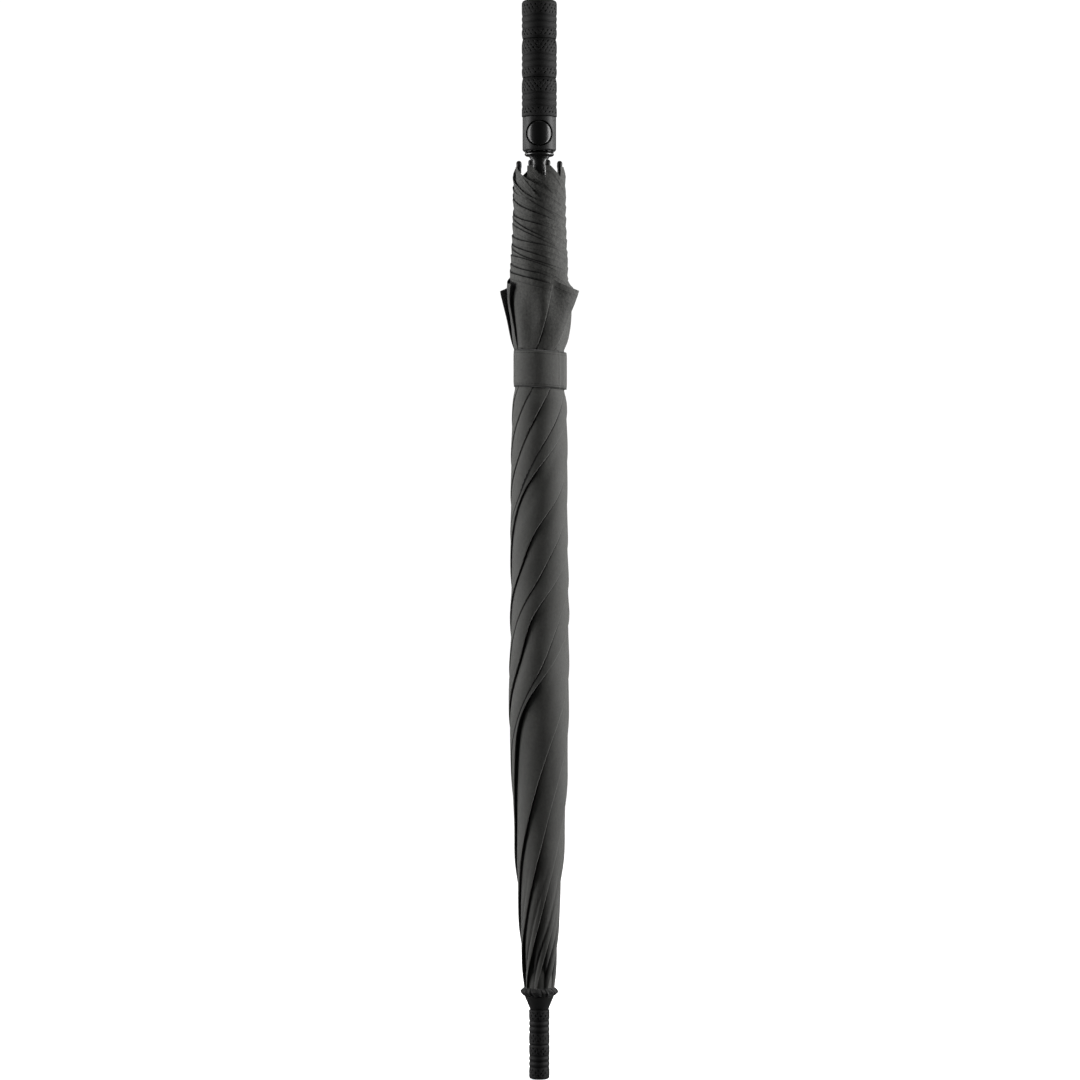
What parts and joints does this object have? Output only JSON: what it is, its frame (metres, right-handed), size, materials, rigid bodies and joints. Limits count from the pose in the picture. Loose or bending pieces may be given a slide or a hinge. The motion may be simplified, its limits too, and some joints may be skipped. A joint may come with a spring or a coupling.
{
  "type": "golf umbrella",
  "caption": "Long straight golf umbrella, rolled and strapped, with a push-button handle, sliding runner, hinged ribs and stretchers and a folding canopy.",
  "frame": {"origin": "centre of the tip's flat end", "axes": "+Z along the shaft from the tip to the handle, -Y towards the face with the push button, +X to the right of someone facing the button"},
  "size_m": [0.06, 0.06, 1.001],
  "materials": {
    "canopy_cloth": "plain weave with a soft sheen, charcoal grey",
    "strap_webbing": "canopy cloth doubled and stitched",
    "grip_rubber": "soft rubber with pitted bands and smooth ripples",
    "moulding": "satin black moulding",
    "gloss_moulding": "glossy black moulding",
    "fibreglass": "drawn black fibreglass",
    "steel": "plated spring steel"
  },
  "bodies": {
    "frame": {"tip_grip": "grip_rubber", "crown_cap": "gloss_moulding", "canopy_rosette": "canopy_cloth", "crown_notch": "moulding", "crown_wire": "steel", "shaft_tube": "fibreglass", "handle_core": "moulding", "grip_sleeve": "grip_rubber", "button_housing": "moulding", "housing_insert": "moulding", "spring_seat": "steel", "opening_spring": "steel", "button_spring": "steel", "latch_pin": "steel"},
    "button": {"release_button": "gloss_moulding"},
    "latch": {"latch_lever": "steel"},
    "runner": {"runner_sleeve": "gloss_moulding", "runner_ring": "moulding", "runner_wire": "steel", "drive_pin": "steel"},
    "rib_1": {"rib_1": "fibreglass", "rib_tip_1": "gloss_moulding", "canopy_panel_1": "canopy_cloth", "strap_band": "strap_webbing"},
    "rib_2": {"rib_2": "fibreglass", "rib_tip_2": "gloss_moulding", "canopy_panel_2": "canopy_cloth"},
    "rib_3": {"rib_3": "fibreglass", "rib_tip_3": "gloss_moulding", "canopy_panel_3": "canopy_cloth"},
    "rib_4": {"rib_4": "fibreglass", "rib_tip_4": "gloss_moulding", "canopy_panel_4": "canopy_cloth"},
    "rib_5": {"rib_5": "fibreglass", "rib_tip_5": "gloss_moulding", "canopy_panel_5": "canopy_cloth"},
    "rib_6": {"rib_6": "fibreglass", "rib_tip_6": "gloss_moulding", "canopy_panel_6": "canopy_cloth"},
    "rib_7": {"rib_7": "fibreglass", "rib_tip_7": "gloss_moulding", "canopy_panel_7": "canopy_cloth"},
    "rib_8": {"rib_8": "fibreglass", "rib_tip_8": "gloss_moulding", "canopy_panel_8": "canopy_cloth"},
    "stretcher_1": {"stretcher_1": "fibreglass"},
    "stretcher_2": {"stretcher_2": "fibreglass"},
    "stretcher_3": {"stretcher_3": "fibreglass"},
    "stretcher_4": {"stretcher_4": "fibreglass"},
    "stretcher_5": {"stretcher_5": "fibreglass"},
    "stretcher_6": {"stretcher_6": "fibreglass"},
    "stretcher_7": {"stretcher_7": "fibreglass"},
    "stretcher_8": {"stretcher_8": "fibreglass"},
    "tab": {"strap_tab": "strap_webbing"}
  },
  "joints": [
    {"name": "runner_slide", "type": "slide", "parent": "frame", "child": "runner", "axis": [0, 0, -1], "range_m": [0, 0.29821], "deforming": ["canopy_panel_1", "canopy_panel_2", "canopy_panel_3", "canopy_panel_4", "canopy_panel_5", "canopy_panel_6", "canopy_panel_7", "canopy_panel_8", "strap_band", "opening_spring"]},
    {"name": "rib_hinge_1", "type": "hinge", "parent": "frame", "child": "rib_1", "pos_m": [0.00942, -0.0039, 0.0895], "axis": [0.3827, 0.9239, 0], "range_deg": [0, 61.23]},
    {"name": "rib_hinge_2", "type": "hinge", "parent": "frame", "child": "rib_2", "pos_m": [0.00942, 0.0039, 0.0895], "axis": [-0.3827, 0.9239, 0], "range_deg": [0, 61.23]},
    {"name": "rib_hinge_3", "type": "hinge", "parent": "frame", "child": "rib_3", "pos_m": [0.0039, 0.00942, 0.0895], "axis": [-0.9239, 0.3827, 0], "range_deg": [0, 61.23]},
    {"name": "rib_hinge_4", "type": "hinge", "parent": "frame", "child": "rib_4", "pos_m": [-0.0039, 0.00942, 0.0895], "axis": [-0.9239, -0.3827, 0], "range_deg": [0, 61.23]},
    {"name": "rib_hinge_5", "type": "hinge", "parent": "frame", "child": "rib_5", "pos_m": [-0.00942, 0.0039, 0.0895], "axis": [-0.3827, -0.9239, 0], "range_deg": [0, 61.23]},
    {"name": "rib_hinge_6", "type": "hinge", "parent": "frame", "child": "rib_6", "pos_m": [-0.00942, -0.0039, 0.0895], "axis": [0.3827, -0.9239, 0], "range_deg": [0, 61.23]},
    {"name": "rib_hinge_7", "type": "hinge", "parent": "frame", "child": "rib_7", "pos_m": [-0.0039, -0.00942, 0.0895], "axis": [0.9239, -0.3827, 0], "range_deg": [0, 61.23]},
    {"name": "rib_hinge_8", "type": "hinge", "parent": "frame", "child": "rib_8", "pos_m": [0.0039, -0.00942, 0.0895], "axis": [0.9239, 0.3827, 0], "range_deg": [0, 61.23]},
    {"name": "stretcher_hinge_1", "type": "hinge", "parent": "rib_1", "child": "stretcher_1", "pos_m": [0.0093, -0.00385, 0.41953], "axis": [-0.3827, -0.9239, 0], "range_deg": [0, 108.71]},
    {"name": "stretcher_hinge_2", "type": "hinge", "parent": "rib_2", "child": "stretcher_2", "pos_m": [0.0093, 0.00385, 0.41953], "axis": [0.3827, -0.9239, 0], "range_deg": [0, 108.71]},
    {"name": "stretcher_hinge_3", "type": "hinge", "parent": "rib_3", "child": "stretcher_3", "pos_m": [0.00385, 0.0093, 0.41953], "axis": [0.9239, -0.3827, 0], "range_deg": [0, 108.71]},
    {"name": "stretcher_hinge_4", "type": "hinge", "parent": "rib_4", "child": "stretcher_4", "pos_m": [-0.00385, 0.0093, 0.41953], "axis": [0.9239, 0.3827, 0], "range_deg": [0, 108.71]},
    {"name": "stretcher_hinge_5", "type": "hinge", "parent": "rib_5", "child": "stretcher_5", "pos_m": [-0.0093, 0.00385, 0.41953], "axis": [0.3827, 0.9239, 0], "range_deg": [0, 108.71]},
    {"name": "stretcher_hinge_6", "type": "hinge", "parent": "rib_6", "child": "stretcher_6", "pos_m": [-0.0093, -0.00385, 0.41953], "axis": [-0.3827, 0.9239, 0], "range_deg": [0, 108.71]},
    {"name": "stretcher_hinge_7", "type": "hinge", "parent": "rib_7", "child": "stretcher_7", "pos_m": [-0.00385, -0.0093, 0.41953], "axis": [-0.9239, 0.3827, 0], "range_deg": [0, 108.71]},
    {"name": "stretcher_hinge_8", "type": "hinge", "parent": "rib_8", "child": "stretcher_8", "pos_m": [0.00385, -0.0093, 0.41953], "axis": [-0.9239, -0.3827, 0], "range_deg": [0, 108.71]},
    {"name": "button_press", "type": "slide", "parent": "frame", "child": "button", "axis": [0, 1, 0], "range_m": [0, 0.0022], "stiffness_N_per_m": 600, "springref_m": -0.001, "deforming": ["button_spring"]},
    {"name": "latch_swing", "type": "hinge", "parent": "frame", "child": "latch", "pos_m": [0, -0.00965, 0.87], "axis": [-1, 0, 0], "range_deg": [0, 10]},
    {"name": "strap_tab_hinge", "type": "hinge", "parent": "rib_1", "child": "tab", "pos_m": [0.01877, -0.01575, 0.6585], "axis": [0, 0, -1], "range_deg": [0, 100]}
  ],
  "couplings": [
    {"joint": "rib_hinge_1", "follows": "runner_slide", "rad_per_m": 3.5834},
    {"joint": "rib_hinge_2", "follows": "runner_slide", "rad_per_m": 3.5834},
    {"joint": "rib_hinge_3", "follows": "runner_slide", "rad_per_m": 3.5834},
    {"joint": "rib_hinge_4", "follows": "runner_slide", "rad_per_m": 3.5834},
    {"joint": "rib_hinge_5", "follows": "runner_slide", "rad_per_m": 3.5834},
    {"joint": "rib_hinge_6", "follows": "runner_slide", "rad_per_m": 3.5834},
    {"joint": "rib_hinge_7", "follows": "runner_slide", "rad_per_m": 3.5834},
    {"joint": "rib_hinge_8", "follows": "runner_slide", "rad_per_m": 3.5834},
    {"joint": "stretcher_hinge_1", "follows": "runner_slide", "rad_per_m": 6.3628},
    {"joint": "stretcher_hinge_2", "follows": "runner_slide", "rad_per_m": 6.3628},
    {"joint": "stretcher_hinge_3", "follows": "runner_slide", "rad_per_m": 6.3628},
    {"joint": "stretcher_hinge_4", "follows": "runner_slide", "rad_per_m": 6.3628},
    {"joint": "stretcher_hinge_5", "follows": "runner_slide", "rad_per_m": 6.3628},
    {"joint": "stretcher_hinge_6", "follows": "runner_slide", "rad_per_m": 6.3628},
    {"joint": "stretcher_hinge_7", "follows": "runner_slide", "rad_per_m": 6.3628},
    {"joint": "stretcher_hinge_8", "follows": "runner_slide", "rad_per_m": 6.3628},
    {"joint": "latch_swing", "follows": "button_press", "rad_per_m": 79.33}
  ]
}
